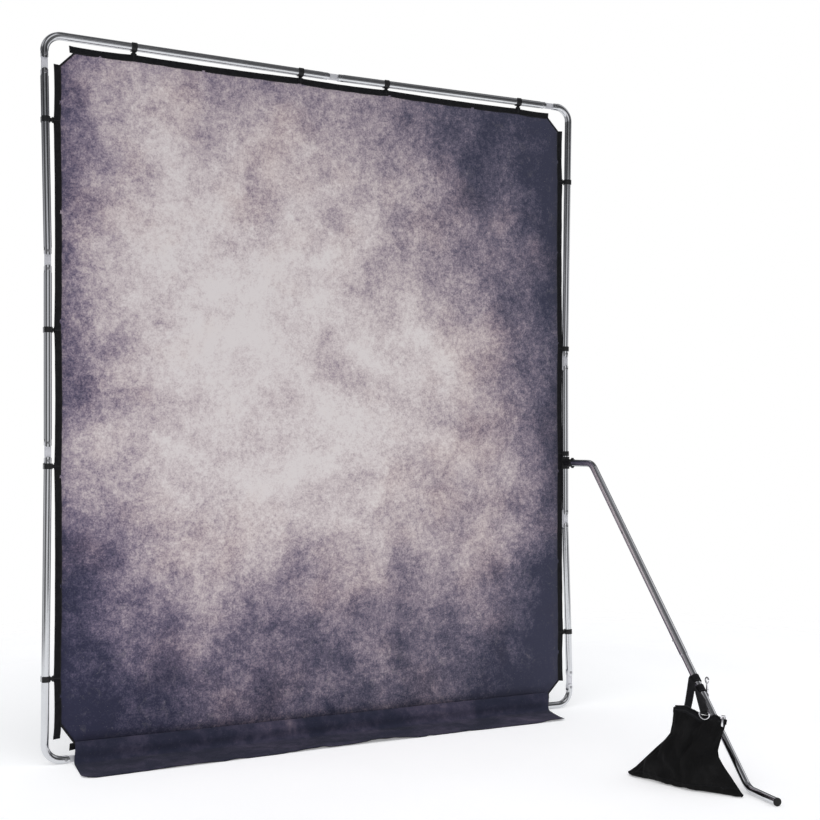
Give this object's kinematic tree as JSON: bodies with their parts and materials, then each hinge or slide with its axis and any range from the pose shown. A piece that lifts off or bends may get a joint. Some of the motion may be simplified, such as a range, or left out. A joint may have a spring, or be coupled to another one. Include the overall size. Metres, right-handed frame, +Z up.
{
  "type": "background support system",
  "caption": "Folding tube frame with a clipped-on printed fabric cover, held up by a clamped bent support leg with a strapped-on weight bag.",
  "frame": {"origin": "bottom centre of the whole object's box, on the floor", "axes": "+Z up, +X to the right along the panel seen from its printed face, -Y the way the printed face and the leg point"},
  "size_m": [2.0124, 1.4428, 2.2996],
  "materials": {
    "tube_aluminium": "drawn and polished",
    "link_alloy": "tumbled satin",
    "pin_steel": "bright",
    "clip_plastic": "fine moulded grain",
    "cover_print": "mottled cloudy print on woven polyester",
    "edge_elastic": "ribbed elastic",
    "flap_cloth": "matt woven",
    "clamp_plastic": "fine moulded grain",
    "cap_rubber": "matt",
    "bag_cloth": "heavy woven nylon",
    "bag_filling": "loose ballast",
    "webbing": "ribbed webbing",
    "fitting_chrome": "polished",
    "spring_steel": "bright"
  },
  "bodies": {
    "root": {"right_lower_tube": "tube_aluminium", "right_middle_tube": "tube_aluminium", "right_upper_tube": "tube_aluminium", "right_pole_links": "link_alloy", "right_pole_pins": "pin_steel", "clips_right_pole": "clip_plastic", "link_top_right": "link_alloy", "pins_top_right": "pin_steel", "link_right_bottom": "link_alloy", "pins_right_bottom": "pin_steel", "cover_fabric": "cover_print", "edge_band_left": "edge_elastic", "edge_band_right": "edge_elastic", "edge_band_top": "edge_elastic", "edge_band_bottom": "edge_elastic", "floor_flap": "flap_cloth"},
    "rail_top_right": {"top_right_tube": "tube_aluminium", "clips_top_right": "clip_plastic"},
    "rail_top_left": {"top_left_tube": "tube_aluminium", "clips_top_left": "clip_plastic", "link_top_centre": "link_alloy", "pins_top_centre": "pin_steel"},
    "left_pole": {"left_upper_tube": "tube_aluminium", "left_middle_tube": "tube_aluminium", "left_lower_tube": "tube_aluminium", "left_pole_links": "link_alloy", "left_pole_pins": "pin_steel", "clips_left_pole": "clip_plastic", "link_left_top": "link_alloy", "pins_left_top": "pin_steel", "link_bottom_left": "link_alloy", "pins_bottom_left": "pin_steel"},
    "rail_bottom_right": {"bottom_right_tube": "tube_aluminium", "clips_bottom_right": "clip_plastic", "link_bottom_centre": "link_alloy", "pins_bottom_centre": "pin_steel"},
    "rail_bottom_left": {"bottom_left_tube": "tube_aluminium", "clips_bottom_left": "clip_plastic"},
    "leg": {"clamp_body": "clamp_plastic", "clamp_bolt": "pin_steel", "leg_upper_tube": "tube_aluminium", "leg_lower_tube": "tube_aluminium", "leg_button_spring": "spring_steel", "leg_end_cap": "cap_rubber", "bag_shell": "bag_cloth", "bag_filling": "bag_filling", "strap_left": "webbing", "strap_right": "webbing", "d_ring": "fitting_chrome", "bag_zip": "webbing", "snap_eye": "fitting_chrome", "hook_tab": "webbing"},
    "clamp_knob": {"clamp_knob": "clamp_plastic"},
    "lock_collar": {"lock_collar": "clamp_plastic"},
    "leg_button": {"leg_button": "pin_steel"},
    "zip_slider": {"zip_slider": "fitting_chrome"},
    "snap_hook": {"snap_hook": "fitting_chrome"},
    "snap_gate": {"snap_gate": "fitting_chrome"}
  },
  "joints": [
    {"name": "frame_fold", "type": "hinge", "parent": "root", "child": "rail_top_right", "pos_m": [0.86077, 0.69992, 2.28642], "axis": [0, -1, 0], "range_deg": [0, 45], "deforming": ["cover_fabric", "edge_band_left", "edge_band_right", "edge_band_top", "edge_band_bottom", "floor_flap"]},
    {"name": "fold_top_centre", "type": "hinge", "parent": "rail_top_right", "child": "rail_top_left", "pos_m": [0.02177, 0.69992, 2.2803], "axis": [0, -1, 0], "range_deg": [-90, 0]},
    {"name": "fold_left_top", "type": "hinge", "parent": "rail_top_left", "child": "left_pole", "pos_m": [-0.99353, 0.69992, 2.223], "axis": [0, -1, 0], "range_deg": [0, 45]},
    {"name": "fold_right_bottom", "type": "hinge", "parent": "root", "child": "rail_bottom_right", "pos_m": [0.98107, 0.69992, 0.077], "axis": [0, -1, 0], "range_deg": [-45, 0]},
    {"name": "fold_bottom_centre", "type": "hinge", "parent": "rail_bottom_right", "child": "rail_bottom_left", "pos_m": [-0.03423, 0.69992, 0.0197], "axis": [0, -1, 0], "range_deg": [0, 90]},
    {"name": "leg_swing", "type": "hinge", "parent": "root", "child": "leg", "pos_m": [0.96307, 0.69992, 0.933], "axis": [0, 0, 1], "range_deg": [-35, 100]},
    {"name": "clamp_knob_turn", "type": "hinge", "parent": "leg", "child": "clamp_knob", "pos_m": [0.99136, 0.70429, 0.933], "axis": [0.184, 0.9829, 0], "continuous": true},
    {"name": "collar_turn", "type": "hinge", "parent": "leg", "child": "lock_collar", "pos_m": [0.95176, 0.63947, 0.933], "axis": [-0.184, -0.9829, 0], "range_deg": [0, 90]},
    {"name": "button_press", "type": "slide", "parent": "leg", "child": "leg_button", "axis": [0.9829, -0.184, 0], "range_m": [0, 0.0032], "stiffness_N_per_m": 900, "springref_m": -0.002},
    {"name": "zip_slide", "type": "slide", "parent": "leg", "child": "zip_slider", "axis": [-0.3156, 0.9489, 0], "range_m": [0, 0.035]},
    {"name": "hook_swivel", "type": "hinge", "parent": "leg", "child": "snap_hook", "pos_m": [0.79516, -0.31145, 0.239], "axis": [0, 0, 1], "continuous": true},
    {"name": "gate_open", "type": "hinge", "parent": "snap_hook", "child": "snap_gate", "pos_m": [0.79421, -0.31653, 0.26863], "axis": [-0.9829, 0.184, 0], "range_deg": [0, 40], "stiffness_Nm_per_rad": 0.02, "springref_deg": -17.19}
  ],
  "couplings": [
    {"joint": "fold_top_centre", "follows": "frame_fold", "ratio": -2},
    {"joint": "fold_left_top", "follows": "frame_fold", "ratio": 1},
    {"joint": "fold_right_bottom", "follows": "frame_fold", "ratio": -1},
    {"joint": "fold_bottom_centre", "follows": "frame_fold", "ratio": 2}
  ]
}
